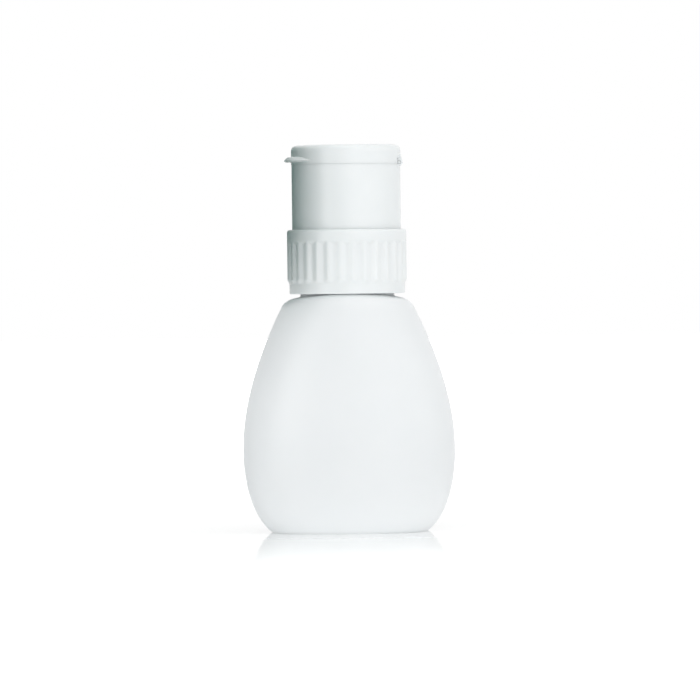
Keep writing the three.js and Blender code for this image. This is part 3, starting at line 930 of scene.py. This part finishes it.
# %% Dip tube
tube_low, tube_high = box_of("dip_tube")
tube_radius = tube_high.x
tube_bore = 1.7
tube_edge = 0.12
tube_sides = 64
slant = 0.6

suction_tube = turned("suction_tube", rounded([
    (tube_radius, tube_low.z, tube_edge),
    (tube_radius, tube_high.z, tube_edge),
    (tube_bore, tube_high.z, tube_edge),
    (tube_bore, tube_low.z, tube_edge),
]), tube_sides)
for point in suction_tube.data.vertices:
    if point.co.z < (tube_low.z + tube_high.z) / 2 * MM:
        point.co.z += slant * (point.co.x + tube_radius * MM)
dress(suction_tube, "dip_tube", pump_natural)

# %% [markdown]
# ## Valve balls and spring
# Two steel balls close the pump, one on the way in and one on the way out. A compression spring under the
# stem brings the head up again. Its end turns lie close and its middle turns are open, so it stands square
# on its seat. It could be drawn by hand as a curve, but a tree winds it from its sizes: the height is the
# sum of three ramps, for the two close ends and the open middle.

# %% Valve balls
ball_steps = 32


def valve_ball(name, node):
    """A steel ball in the stead of a solid one."""
    low, high = box_of(node)
    middle_z = (low.z + high.z) / 2
    radius = (high.z - low.z) / 2
    angles = [math.pi * k / ball_steps - math.pi / 2 for k in range(1, ball_steps)]
    profile = [(radius * math.cos(angle), middle_z + radius * math.sin(angle)) for angle in angles]
    ball = turned(name, [(0, low.z), *profile, (0, high.z)], 2 * ball_steps)
    dress(ball, node, steel_bright)


valve_ball("inlet_valve_ball", "inlet_ball")
valve_ball("outlet_valve_ball", "outlet_ball")

# %% Spring sizes
_, spring_high = box_of("return_spring")
flange_foot_z = 75.9
wire = 0.8
spring_radius = spring_high.y - wire / 2
close_turns = 1
open_turns = 4
spring_turns = open_turns + 2 * close_turns
end_gap = 0.05
close_pitch = 1.02
spring_seat_z = spring_foot_z + wire / 2 + end_gap
spring_rise = flange_foot_z - spring_foot_z - wire - 2 * end_gap
close_rise = wire * close_pitch
open_rise = spring_rise - 2 * close_rise

spring_sizes = {
    "Turns": spring_turns,
    "Close Turns": close_turns,
    "Coil Radius": spring_radius * MM,
    "Wire Radius": wire / 2 * MM,
    "Seat Height": spring_seat_z * MM,
    "Close Rise": close_rise * MM,
    "Open Rise": open_rise * MM,
}
print("spring turns:", spring_turns, "rise of an open turn in mm:", round(open_rise / open_turns, 2))

# %% Spring tree
coil_turn_points = 64

spring_tree, start, end = new_tree("return_coil", spring_sizes)
sizes = start.outputs
spiral = spring_tree.nodes.new("GeometryNodeCurveSpiral")
spiral.inputs["Resolution"].default_value = coil_turn_points
plug(spring_tree, spiral.inputs["Rotations"], sizes["Turns"])
along = spring_tree.nodes.new("GeometryNodeSplineParameter").outputs["Factor"]
maths = partial(sum_up, spring_tree)
wound_turns = maths("MULTIPLY", along, sizes["Turns"])
last_open = maths("SUBTRACT", sizes["Turns"], sizes["Close Turns"])
foot_ramp = ramp(spring_tree, wound_turns, 0, sizes["Close Turns"], smooth=False)
open_ramp = ramp(spring_tree, wound_turns, sizes["Close Turns"], last_open, smooth=False)
head_ramp = ramp(spring_tree, wound_turns, last_open, sizes["Turns"], smooth=False)
close_height = maths("MULTIPLY", maths("ADD", foot_ramp, head_ramp), sizes["Close Rise"])
open_height = maths("MULTIPLY_ADD", open_ramp, sizes["Open Rise"], close_height)
height = maths("ADD", open_height, sizes["Seat Height"])
turn = maths("MULTIPLY", wound_turns, math.tau)
wound = wind(spring_tree, spiral, sizes["Coil Radius"], turn, height)
close_tree(spring_tree, sweep_round(spring_tree, wound, sizes["Wire Radius"]), start, end)
print("nodes in the spring tree:", len(spring_tree.nodes))

# %% Spring
wound_spring = new_piece("wound_spring", bpy.data.meshes.new("wound_spring"))
run_tree(wound_spring, spring_tree, {**spring_sizes, "Material": steel_bright})
dress(wound_spring, "return_spring", steel_bright)
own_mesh(wound_spring)

# %% [markdown]
# ## Plunger
# The head sits on a stem in two halves, plugged together with the piston held between them. The lower half
# has two ports that the piston covers, and the upper half carries the seat of the outlet ball. One long
# stem would look the same from outside, but the real one has to come apart to take the piston. So each
# half is turned by itself, and the ports are cut with a round bar that is laid along X.

# %% Piston
piston_low, piston_high = box_of("piston")
lower_radius = 2.6
piston_lip = 1.2
piston_lip_depth = 0.8
piston_waist = piston_high.x - piston_lip_depth

soft_piston = turned("soft_piston", rounded([
    (piston_waist, piston_low.z, 0.15),
    (piston_high.x, piston_low.z, 0.12),
    (piston_waist, piston_low.z + piston_lip, 0.3),
    (piston_waist, piston_high.z - piston_lip, 0.3),
    (piston_high.x, piston_high.z, 0.12),
    (piston_waist, piston_high.z, 0.15),
    (lower_radius + press_fit, piston_high.z, 0.2),
    (lower_radius + press_fit, piston_low.z, 0.2),
]))
dress(soft_piston, "piston", seal_soft)

# %% Lower stem
lower_low, lower_high = box_of("lower_stem")
upper_low, upper_high = box_of("upper_stem")
spigot_radius = 2.3
stem_flow_bore = 1.3
stem_floor = 1.3
flange_top_z = 76.7
port_radius = 0.7
port_reach = 5
stem_sides = 96

ported_stem = turned("ported_stem", rounded([
    (0, lower_low.z, 0),
    (lower_radius, lower_low.z, 0.3),
    (lower_radius, flange_foot_z, 0.15),
    (lower_high.x, flange_foot_z, 0.15),
    (lower_high.x, flange_top_z, 0.2),
    (lower_radius, flange_top_z, 0.15),
    (lower_radius, upper_low.z, 0.1),
    (spigot_radius, upper_low.z, 0.1),
    (spigot_radius, lower_high.z, 0.2),
    (stem_flow_bore, lower_high.z, 0.2),
    (stem_flow_bore, lower_low.z + stem_floor, 0.3),
    (0, lower_low.z + stem_floor, 0),
]), stem_sides)
port_at = (0, flange_top_z + 2 * port_radius)
port = round_bar("port", port_at, port_radius, -port_reach, port_reach)
port.data.transform(Quaternion((0, 0, 1), math.pi / 2).to_matrix().to_4x4())
combine(ported_stem, port, "DIFFERENCE")
shade(ported_stem)
dress(ported_stem, "lower_stem", pump_natural)

# %% Upper stem
upper_radius = 3.4
outlet_bore = 1.4
outlet_cage = 2.6
outlet_seat_z = 102.13
stop_height = 0.7

outlet_stem = turned("outlet_stem", rounded([
    (upper_high.x, upper_low.z, 0.15),
    (upper_high.x, upper_low.z + stop_height, 0.2),
    (upper_radius, upper_low.z + stop_height, 0.2),
    (upper_radius, upper_high.z, 0.3),
    (outlet_cage, upper_high.z, 0.15),
    (outlet_cage, outlet_seat_z + outlet_cage - outlet_bore, 0.2),
    (outlet_bore, outlet_seat_z, 0.2),
    (outlet_bore, lower_high.z + play, 0.2),
    (spigot_radius + press_fit, lower_high.z + play, 0.2),
    (spigot_radius + press_fit, upper_low.z, 0.2),
]), stem_sides)
dress(outlet_stem, "upper_stem", pump_natural)

# %% [markdown]
# ## Press head
# The head is a smooth cup that slides down into the collar. Under its deck a hub is pushed on the stem, and
# at the right of its rim two ears hold the lid's hinge pins, with a notch between them for the knuckle. The
# cup could be modelled from a cylinder, but then each wall would have to be inset by hand. So it is turned
# like the rest, the notch is cut, the ears are joined on and the eye is drilled through both.

# %% Head
head_low, head_high = box_of("head_shell")
head_radius = head_high.y
hinge = Vector(joints["lid_flip"]["pos_m"]) / MM
hinge_at = (hinge.x, hinge.z)
hinge_lift = 0.4
head_top_z = hinge.z - hinge_lift
head_bore = 16.1
deck_z = 107.6
deck_top_z = 109.0
cage_room = 1.2
hub_foot_z = 96.6
hub_bore = upper_radius + press_fit
hub_wall = 1.5
hub_outer = hub_bore + hub_wall
wide_sides = 192

press_head = turned("press_head", rounded([
    (head_radius, head_low.z, 0.3),
    (head_radius, head_top_z, 0.02),
    (head_bore, head_top_z, 0.25),
    (head_bore, deck_top_z, 0.3),
    (outlet_bore, deck_top_z, 0.2),
    (outlet_bore, upper_high.z + cage_room, 0.2),
    (outlet_cage, upper_high.z + cage_room, 0.15),
    (outlet_cage, upper_high.z, 0.12),
    (hub_bore, upper_high.z, 0.15),
    (hub_bore, hub_foot_z, 0.3),
    (hub_outer, hub_foot_z, 0.3),
    (hub_outer, deck_z, 0.5),
    (head_bore, deck_z, 0.6),
    (head_bore, head_low.z, 0.3),
]), wide_sides)
print("head from", round(head_low.z, 1), "to", round(head_top_z, 1), "mm")

# %% Ears of the hinge
knuckle_radius = head_high.x - hinge.x
ear_from, ear_to = 4.3, 6.1
ear_inner_x = 15.6
ear_edge = 0.15
pin_radius = 0.5
pin_play = 0.08
drill_past = 1

notch = round_bar("notch", hinge_at, knuckle_radius + play, -ear_from, ear_from)
combine(press_head, notch, "DIFFERENCE")
ear_outline = [(ear_inner_x, hinge.z - knuckle_radius)]
ear_outline += arc(hinge_at, knuckle_radius, -90, 180, 36)
ear_outline += [(ear_inner_x, head_top_z)]
for side, (near, far) in {"front": (-ear_to, -ear_from), "back": (ear_from, ear_to)}.items():
    combine(press_head, bar_along_y(f"ear_{side}", ear_outline, near, far, ear_edge), "UNION")
eye = round_bar("eye", hinge_at, pin_radius + pin_play, -ear_to - drill_past, ear_to + drill_past)
combine(press_head, eye, "DIFFERENCE")
shade(press_head)
dress(press_head, "head_shell", cap_white)

# %% [markdown]
# ## Pad dish
# Under the lid lies a shallow dish with the outlet in its middle. A pad is laid on it and pressed, and the
# liquid wells up into the pad. The bowl could be a plain cone, but it catches the light as one long curve,
# so its profile is a curve too, with a soft edge round the outlet.

# %% Dish
dish_low, dish_high = box_of("pad_dish")
dish_wall = 1.2
dish_bore = dish_high.x - dish_wall
rim_height = 1.9
bowl_depth = 2.6
bowl_edge_z = dish_high.z - rim_height
bowl_floor_z = bowl_edge_z - bowl_depth
bowl_under_z = bowl_floor_z - dish_wall
bowl_pull = 0.55
spout_wall = 1.4
spout_radius = outlet_bore + spout_wall
spout_round = 0.6
outlet_lead = 0.35


def bowl(from_place, handle_radius, to_place, steps=20):
    """Corners of a curve that leaves one place along a handle and comes level into the other."""
    first, last = Vector(from_place), Vector(to_place)
    handle = Vector((handle_radius, min(first.y, last.y)))
    shares = [k / steps for k in range(steps + 1)]
    points = [first.lerp(handle, share).lerp(handle.lerp(last, share), share) for share in shares]
    return [(point.x, point.y, 0) for point in points]


handle_radius = bowl_pull * dish_bore
outlet_dish = turned("outlet_dish", rounded([
    (dish_high.x, dish_low.z, 0.25),
    (dish_high.x, dish_high.z, 0.35),
    (dish_bore, dish_high.z, 0.35),
    *bowl((dish_bore, bowl_edge_z), handle_radius, (outlet_bore + 2 * outlet_lead, bowl_floor_z)),
    (outlet_bore, bowl_floor_z, outlet_lead),
    (outlet_bore, dish_low.z, 0.15),
    (spout_radius, dish_low.z, 0.15),
    (spout_radius, bowl_under_z, 0.3),
    *bowl((spout_radius + spout_round, bowl_under_z), handle_radius, (dish_bore, bowl_edge_z - dish_wall)),
    (dish_bore, dish_low.z, 0.25),
]), wide_sides)
dress(outlet_dish, "pad_dish", cap_white)

# %% [markdown]
# ## Flip lid
# The lid is a shallow cup with a soft top corner. On the left a tab with a blunt nose and a sloped top stands
# out for the thumb, and on the right a knuckle hangs from the wall and turns on two pins. A ring under its
# ceiling dips into the dish and seals it. The ring could be joined on, but a seam where two round walls meet
# leaves slivers, so cup and ring are turned in one. The tab is the edge of a plate that sits off centre: all
# of it that would stand inside the cup is cut away before it is joined on. The tool for that has fewer
# sides than the cup, so that no corner of one falls on an edge of the other.

# %% Cup of the lid
lid_low, lid_high = box_of("flip_lid")
lid_radius = lid_high.y
lid_seat_gap = 0.012
lid_foot_z = head_top_z + lid_seat_gap
lid_wall = 1.3
lid_bore = lid_radius - lid_wall
lid_ceiling_z = lid_high.z - lid_wall
lid_corner = 2.0
seal_radius = dish_bore - play
seal_wall = 0.8

hinged_lid = turned("hinged_lid", rounded([
    (0, lid_ceiling_z, 0),
    (seal_radius - seal_wall, lid_ceiling_z, 0),
    (seal_radius - seal_wall, lid_low.z, 0.2),
    (seal_radius, lid_low.z, 0.2),
    (seal_radius, lid_ceiling_z, 0),
    (lid_bore, lid_ceiling_z, 0.5),
    (lid_bore, lid_foot_z, 0),
    (lid_radius, lid_foot_z, 0.02),
    (lid_radius, lid_high.z, lid_corner),
    (0, lid_high.z, 0),
], steps=8, guard_share=0.15), wide_sides)
print("lid from", round(lid_foot_z, 2), "to", round(lid_high.z, 2), "mm")

# %% Thumb tab
tab_lift = 0.5
tab_height = 1.65
tab_foot_z = head_top_z + play + tab_lift
tab_top_z = tab_foot_z + tab_height
tab_edge = 0.5
tab_nose = 0.5
tab_slope = 1.1
tab_half_angle = math.radians(50)
tab_root_x = lid_radius * math.cos(tab_half_angle)
tab_offset = (lid_low.x ** 2 - lid_radius ** 2) / (2 * (-lid_low.x - tab_root_x))
tab_radius = -lid_low.x - tab_offset
mid_wall = lid_radius - lid_wall / 2
room_sides = 180

thumb_tab = turned("thumb_tab", rounded([
    (0, tab_foot_z, 0),
    (tab_radius - tab_nose, tab_foot_z, 0.2),
    (tab_radius, tab_foot_z + tab_edge, 0.12),
    (tab_radius - tab_slope, tab_top_z, 0.4),
    (0, tab_top_z, 0),
]), wide_sides)
for point in thumb_tab.data.vertices:
    point.co.x -= tab_offset * MM
tab_room = turned("tab_room", [
    (0, lid_foot_z),
    (mid_wall, lid_foot_z),
    (mid_wall, lid_high.z),
    (0, lid_high.z),
], room_sides)
combine(thumb_tab, tab_room, "DIFFERENCE")
combine(hinged_lid, thumb_tab, "UNION")
print("the tab stands out by", round(-lid_low.x - lid_radius, 2), "mm")

# %% Hinge of the lid
side_play = 0.1
knuckle_half = 4.2
knuckle_height = 2.6
knuckle_step = 0.4
pin_edge = 0.1

ear_rooms = {"front": (-ear_to - side_play, -knuckle_half), "back": (knuckle_half, ear_to + side_play)}
for side, (near, far) in ear_rooms.items():
    ear_room = round_bar(f"ear_room_{side}", hinge_at, knuckle_radius + side_play, near, far)
    combine(hinged_lid, ear_room, "DIFFERENCE")
knuckle_top_z = hinge.z + knuckle_height
knuckle_outline = [(mid_wall, hinge.z + knuckle_step)]
knuckle_outline += arc(hinge_at, knuckle_radius, 180, 360, 24)
knuckle_outline += [(lid_radius, knuckle_top_z), (mid_wall, knuckle_top_z)]
knuckle = bar_along_y("knuckle", knuckle_outline, -knuckle_half, knuckle_half, ear_edge)
combine(hinged_lid, knuckle, "UNION")
hinge_pin = round_bar("hinge_pin", hinge_at, pin_radius, -ear_to, ear_to, pin_edge)
combine(hinged_lid, hinge_pin, "UNION")
shade(hinged_lid)
dress(hinged_lid, "flip_lid", cap_white)

# %% [markdown]
# ## Floor and light
# The bottle stands on a bright, glossy floor in front of white. A bigger lamp could burn the floor out to
# white, but it would bleach the bottle too. So the lamps stay at a plain level, and the world and the floor
# turn white for the camera: the floor's glow grows away from the foot, sooner at the sides than in front,
# so that the foot keeps its shadow and its mirror image. The floor also gives a little light upwards, as a
# light table does. Soft boxes at the right, in front, at the left and above add to the light of the room.
# Two dark cards at the left take some away, which models white on white: one stands near the head and the
# collar, and a bigger one farther off takes soft light alone and isn't mirrored.

# %% Floor
floor_half = 4.0
floor_z = -0.02 * MM
floor_grey = 0.9
floor_roughness = 0.05
corners = [
    (-floor_half, -floor_half, floor_z),
    (floor_half, -floor_half, floor_z),
    (floor_half, floor_half, floor_z),
    (-floor_half, floor_half, floor_z),
]

floor_mesh = bpy.data.meshes.new("floor")
floor_mesh.from_pydata(corners, [], [(0, 1, 2, 3)])
floor = new_piece("floor", floor_mesh)
floor_white = bpy.data.materials.new("floor_white")
floor_white.use_nodes = True
tree = floor_white.node_tree
floor_shader = tree.nodes["Principled BSDF"]
floor_shader.inputs["Base Color"].default_value = (floor_grey, floor_grey, floor_grey, 1)
floor_shader.inputs["Roughness"].default_value = floor_roughness
floor_mesh.materials.append(floor_white)
print("floor side in m:", 2 * floor_half)

# %% Glow of the floor
side_stretch = (1.6, 1, 1)
glow_from, glow_to = 20 * MM, 410 * MM
glow_least, glow_gain = 0.05, 1.35
table_light = 0.17

maths = partial(sum_up, tree)
seen = tree.nodes.new("ShaderNodeLightPath").outputs["Is Camera Ray"]
spot = tree.nodes.new("ShaderNodeTexCoord").outputs["Object"]
stretch = tree.nodes.new("ShaderNodeVectorMath")
stretch.operation = "MULTIPLY"
tree.links.new(spot, stretch.inputs[0])
stretch.inputs[1].default_value = side_stretch
away = tree.nodes.new("ShaderNodeVectorMath")
away.operation = "LENGTH"
tree.links.new(stretch.outputs[0], away.inputs[0])
reach = ramp(tree, away.outputs["Value"], glow_from, glow_to, smooth=False)
glow = maths("MULTIPLY_ADD", maths("MULTIPLY", reach, reach), glow_gain, glow_least)
unseen = maths("MULTIPLY", maths("SUBTRACT", 1, seen), table_light)
lift = tree.nodes.new("ShaderNodeEmission")
tree.links.new(maths("MULTIPLY_ADD", seen, glow, unseen), lift.inputs["Strength"])
both = tree.nodes.new("ShaderNodeAddShader")
tree.links.new(floor_shader.outputs[0], both.inputs[0])
tree.links.new(lift.outputs[0], both.inputs[1])
tree.links.new(both.outputs[0], tree.nodes["Material Output"].inputs["Surface"])
print("the floor glows from", glow_least, "to", round(glow_least + glow_gain, 2))

# %% World and view
room_light = 0.62

world = bpy.data.worlds.new("white_room")
bpy.context.scene.world = world
world.use_nodes = True
tree = world.node_tree
maths = partial(sum_up, tree)
ray = tree.nodes.new("ShaderNodeLightPath").outputs
mirrored = maths("MAXIMUM", ray["Is Glossy Ray"], ray["Is Transmission Ray"])
shown = maths("MAXIMUM", ray["Is Camera Ray"], mirrored)
strength = maths("MULTIPLY_ADD", shown, 1 - room_light, room_light)
tree.links.new(strength, tree.nodes["Background"].inputs["Strength"])
tree.nodes["Background"].inputs["Color"].default_value = (1, 1, 1, 1)
bpy.context.scene.view_settings.view_transform = "Standard"
print("light from the room:", room_light)

# %% Lamps
lamp_aim = Vector((0, 0, 0.07))


def soft_box(name, place, size, watts):
    """A square lamp that points at the bottle and isn't seen by the camera."""
    data = bpy.data.lights.new(name, "AREA")
    data.shape = "SQUARE"
    data.size = size
    data.energy = watts
    lamp = bpy.data.objects.new(name, data)
    bpy.context.scene.collection.objects.link(lamp)
    lamp.location = place
    lamp.rotation_euler = (lamp_aim - Vector(place)).to_track_quat("-Z", "Y").to_euler()
    lamp.visible_camera = False


soft_box("right_box", (0.95, -0.45, 0.3), size=1.0, watts=2.6)
soft_box("front_box", (0.45, -1.25, 0.2), size=0.8, watts=2.4)
soft_box("left_fill", (-0.8, -0.7, 0.16), size=0.6, watts=2.7)
soft_box("top_box", (0.0, -0.1, 1.0), size=0.6, watts=2.0)


# %% Cards
def dark_card(name, from_place, to_place, heights, colour, mirrored=True):
    """An upright card over a line on the floor, which takes light away and is not seen itself."""
    from_z, to_z = heights
    corners = [(*from_place, from_z), (*to_place, from_z), (*to_place, to_z), (*from_place, to_z)]
    mesh = bpy.data.meshes.new(name)
    mesh.from_pydata(corners, [], [(0, 1, 2, 3)])
    card = new_piece(name, mesh)
    card.visible_camera = False
    card.visible_glossy = mirrored
    finish = bpy.data.materials.new(name)
    finish.use_nodes = True
    finish.node_tree.nodes["Principled BSDF"].inputs["Base Color"].default_value = (*colour, 1)
    mesh.materials.append(finish)


dark_card(
    "near_card", (-0.033, -0.036), (-0.033, 0.09), heights=(0.079, 0.138), colour=(0.06, 0.15, 0.13)
)
dark_card(
    "left_card", (-0.3, -0.01), (-0.12, 0.34), heights=(0.0, 0.35), colour=(0.05, 0.09, 0.09), mirrored=False
)
